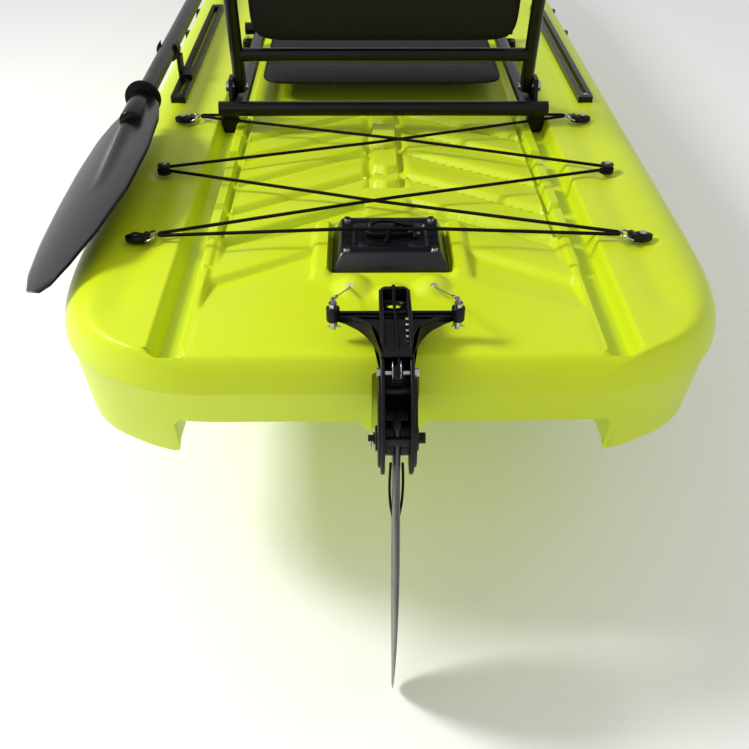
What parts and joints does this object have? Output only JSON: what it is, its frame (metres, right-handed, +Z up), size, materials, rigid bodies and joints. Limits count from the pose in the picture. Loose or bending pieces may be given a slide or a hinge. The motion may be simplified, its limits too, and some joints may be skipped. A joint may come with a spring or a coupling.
{
  "type": "sit-on-top fishing kayak",
  "caption": "Wide sit-on-top kayak with a flat chevron stern deck, bungee rigging, kick-up rudder with a tiller arm, frame seat, gear tracks, hatches and a stowed paddle.",
  "frame": {"origin": "on the centreline, on the flat keel strip's underside amidships", "axes": "+Y towards the bow, +X to starboard, +Z up"},
  "size_m": [0.947, 3.4683, 0.9797],
  "materials": {
    "acetal_sheave": "turned acetal",
    "black_aluminium_tube": "black anodised aluminium",
    "black_nylon": "glass-filled nylon",
    "black_polyethylene": "satin moulded polyethylene",
    "braided_cord": "braided polyester",
    "bungee": "braided sheath over rubber",
    "foam_rubber": "closed-cell foam",
    "lime_polyethylene": "satin rotomoulded polyethylene",
    "nylon_pin": "moulded nylon",
    "paddle_tube": "black anodised aluminium",
    "rudder_aluminium": "dark grey anodised aluminium",
    "seat_mesh": "coated mesh fabric",
    "soft_rubber": "moulded rubber",
    "stainless_steel": "polished stainless steel",
    "steel_cable": "stranded stainless cable"
  },
  "bodies": {
    "hull_body": {"anchor_rings": "stainless_steel", "anchor_screws": "stainless_steel", "bow_handle_mount": "black_nylon", "bungee_cord": "bungee", "cable_exits": "stainless_steel", "cord_guides": "black_nylon", "foot_rails": "black_aluminium_tube", "gear_tracks": "black_aluminium_tube", "handle_mounts": "black_nylon", "hatch_hinge_brackets": "black_nylon", "hatch_hinge_pin": "stainless_steel", "hatch_seal": "foam_rubber", "hull": "lime_polyethylene", "pad_eyes": "black_nylon", "paddle_clips": "black_nylon", "plate_bolts": "stainless_steel", "plate_cleat": "black_nylon", "rear_plate": "black_nylon", "round_hatch_rim": "black_nylon", "rudder_bracket": "black_nylon", "seat_base_frame": "black_aluminium_tube", "seat_brackets": "black_nylon", "seat_feet": "black_nylon", "seat_hinge_bolts": "stainless_steel", "seat_pan": "seat_mesh", "steering_cable_port": "steel_cable", "steering_cable_starboard": "steel_cable", "steering_pin": "stainless_steel", "track_screws": "stainless_steel"},
    "rudder_head_body": {"rudder_head": "black_nylon", "head_bolt": "stainless_steel", "rope_sheave": "acetal_sheave", "blade_pivot_pin": "nylon_pin", "split_ring": "stainless_steel", "blade_spacers": "black_nylon", "lift_rope": "braided_cord", "rope_knob": "black_nylon", "arm_pins": "stainless_steel"},
    "rudder_blade_body": {"rudder_blade": "rudder_aluminium", "blade_cord": "braided_cord"},
    "seat_back": {"seat_back_frame": "black_aluminium_tube", "seat_back_pad": "seat_mesh"},
    "bow_hatch": {"bow_hatch_lid": "black_polyethylene", "latch_pins": "stainless_steel"},
    "latch_port": {"hatch_latch_port": "black_nylon"},
    "latch_starboard": {"hatch_latch_starboard": "black_nylon"},
    "round_hatch": {"round_hatch_lid": "black_nylon"},
    "pedal_port": {"foot_pedal_port": "black_nylon"},
    "pedal_starboard": {"foot_pedal_starboard": "black_nylon"},
    "handle_port": {"side_handle_port": "black_nylon"},
    "handle_starboard": {"side_handle_starboard": "black_nylon"},
    "handle_bow": {"bow_handle": "black_nylon"},
    "paddle": {"paddle_shaft": "paddle_tube", "paddle_blade_aft": "black_nylon", "paddle_blade_fore": "black_nylon", "drip_rings": "soft_rubber"},
    "drain": {"drain_plug": "black_nylon"}
  },
  "joints": [
    {"name": "rudder_steer", "type": "hinge", "parent": "hull_body", "child": "rudder_head_body", "pos_m": [0, -1.654, 0.201], "axis": [0, 0, 1], "range_deg": [-35, 35], "deforming": ["steering_cable_port", "steering_cable_starboard"]},
    {"name": "rudder_kick_up", "type": "hinge", "parent": "rudder_head_body", "child": "rudder_blade_body", "pos_m": [0, -1.71, 0.198], "axis": [-1, 0, 0], "range_deg": [0, 115]},
    {"name": "seat_back_fold", "type": "hinge", "parent": "hull_body", "child": "seat_back", "pos_m": [0, -0.928, 0.326], "axis": [-1, 0, 0], "range_deg": [-8, 88]},
    {"name": "bow_hatch_hinge", "type": "hinge", "parent": "hull_body", "child": "bow_hatch", "pos_m": [0, 1.236, 0.326], "axis": [1, 0, 0], "range_deg": [-105, 0]},
    {"name": "latch_port_lift", "type": "hinge", "parent": "bow_hatch", "child": "latch_port", "pos_m": [-0.09, 0.804, 0.3402], "axis": [-1, 0, 0], "range_deg": [0, 85]},
    {"name": "latch_starboard_lift", "type": "hinge", "parent": "bow_hatch", "child": "latch_starboard", "pos_m": [0.09, 0.804, 0.3402], "axis": [-1, 0, 0], "range_deg": [0, 85]},
    {"name": "round_hatch_turn", "type": "hinge", "parent": "hull_body", "child": "round_hatch", "pos_m": [0, 0.725, 0.28006], "axis": [0, 0, 1], "continuous": true},
    {"name": "pedal_port_slide", "type": "slide", "parent": "hull_body", "child": "pedal_port", "axis": [0, 1, 0], "range_m": [-0.06, 0.06]},
    {"name": "pedal_starboard_slide", "type": "slide", "parent": "hull_body", "child": "pedal_starboard", "axis": [0, 1, 0], "range_m": [-0.06, 0.06]},
    {"name": "handle_port_lift", "type": "hinge", "parent": "hull_body", "child": "handle_port", "pos_m": [-0.457, -0.15, 0.2], "axis": [0, 1, 0], "range_deg": [0, 100]},
    {"name": "handle_starboard_lift", "type": "hinge", "parent": "hull_body", "child": "handle_starboard", "pos_m": [0.457, -0.15, 0.2], "axis": [0, -1, 0], "range_deg": [0, 100]},
    {"name": "handle_bow_lift", "type": "hinge", "parent": "hull_body", "child": "handle_bow", "pos_m": [0, 1.575, 0.34363], "axis": [-1, 0, 0], "range_deg": [0, 120]},
    {"name": "paddle_lift", "type": "slide", "parent": "hull_body", "child": "paddle", "axis": [0, 0, 1], "range_m": [0, 0.25]},
    {"name": "drain_plug_turn", "type": "hinge", "parent": "hull_body", "child": "drain", "pos_m": [0, 1.42, 0.32088], "axis": [0, 0, 1], "continuous": true}
  ],
  "couplings": [
    {"joint": "pedal_port_slide", "follows": "rudder_steer", "m_per_rad": -0.09},
    {"joint": "pedal_starboard_slide", "follows": "rudder_steer", "m_per_rad": 0.09}
  ]
}
